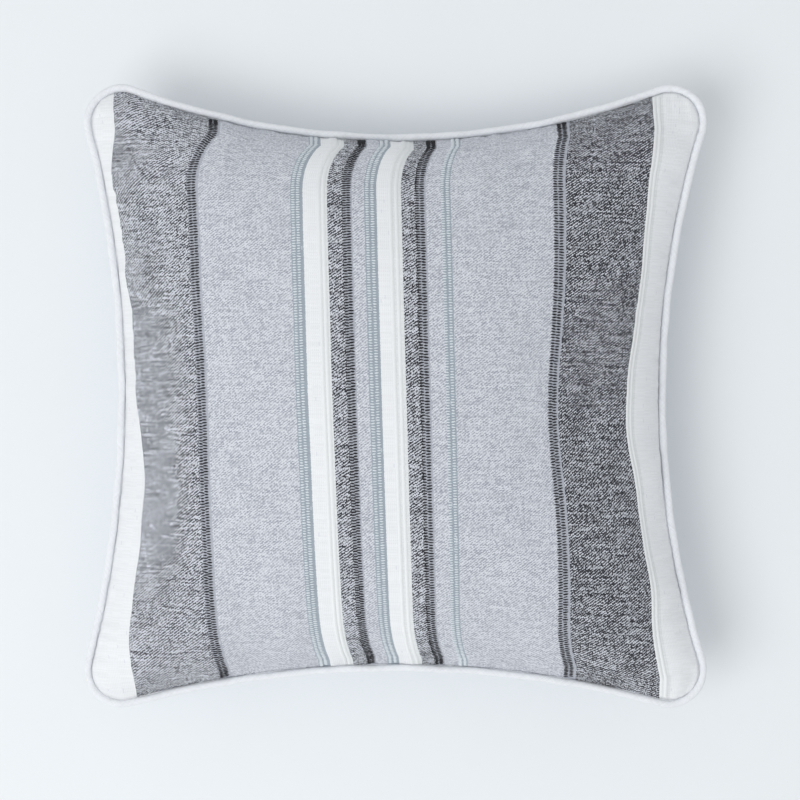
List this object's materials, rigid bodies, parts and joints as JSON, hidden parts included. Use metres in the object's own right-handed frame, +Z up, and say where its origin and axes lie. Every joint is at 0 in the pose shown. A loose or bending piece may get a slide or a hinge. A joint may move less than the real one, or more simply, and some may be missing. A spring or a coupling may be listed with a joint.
{
  "type": "throw pillow",
  "caption": "Square stuffed throw pillow with corded piped edges, a striped woven front and a zip that opens the cover along one side.",
  "frame": {"origin": "on the surface the pillow lies on, under the middle of the square that its seam spans", "axes": "+X across the front's stripes, +Y along them and away from the zip, +Z up out of the front"},
  "size_m": [0.44, 0.44, 0.142],
  "materials": {
    "front_panel": "striped woven cloth",
    "back_panel": "plain woven cloth",
    "piping_cover": "plain woven bias strip",
    "piping_cord": "twisted filler cord",
    "seam_thread": "sewing thread",
    "zip_tape_seam_side": "woven zip tape",
    "zip_tape_back_side": "woven zip tape",
    "zip_coil_seam_side": "nylon coil",
    "zip_coil_back_side": "nylon coil",
    "zip_top_stops": "crimped metal",
    "zip_bottom_stop": "crimped metal",
    "zip_slider": "die cast, painted",
    "zip_pull": "die cast, painted",
    "zip_topstitch": "sewing thread",
    "pad_case_front": "nonwoven cloth",
    "pad_case_back": "nonwoven cloth",
    "pad_filling": "loose polyester fibre",
    "pad_seam_thread": "sewing thread"
  },
  "bodies": {
    "cushion": {"front_panel": "front_panel", "back_panel": "back_panel", "piping_cover": "piping_cover", "piping_cord": "piping_cord", "seam_thread": "seam_thread", "zip_tape_seam_side": "zip_tape_seam_side", "zip_tape_back_side": "zip_tape_back_side", "zip_coil_seam_side": "zip_coil_seam_side", "zip_coil_back_side": "zip_coil_back_side", "zip_top_stops": "zip_top_stops", "zip_bottom_stop": "zip_bottom_stop", "zip_topstitch": "zip_topstitch", "pad_case_front": "pad_case_front", "pad_case_back": "pad_case_back", "pad_filling": "pad_filling", "pad_seam_thread": "pad_seam_thread"},
    "slider": {"zip_slider": "zip_slider"},
    "pull": {"zip_pull": "zip_pull"}
  },
  "joints": [
    {"name": "zip_travel", "type": "hinge", "parent": "cushion", "child": "slider", "pos_m": [0, -0.91405, 0.05949], "axis": [0, 0, 1], "range_deg": [0, 23.9], "deforming": ["zip_tape_seam_side", "zip_tape_back_side", "zip_coil_seam_side", "zip_coil_back_side"]},
    {"name": "pull_flip", "type": "hinge", "parent": "slider", "child": "pull", "pos_m": [0.15093, -0.20194, 0.05803], "axis": [-0.0973, -0.4593, 0.8829], "range_deg": [0, 165]}
  ]
}
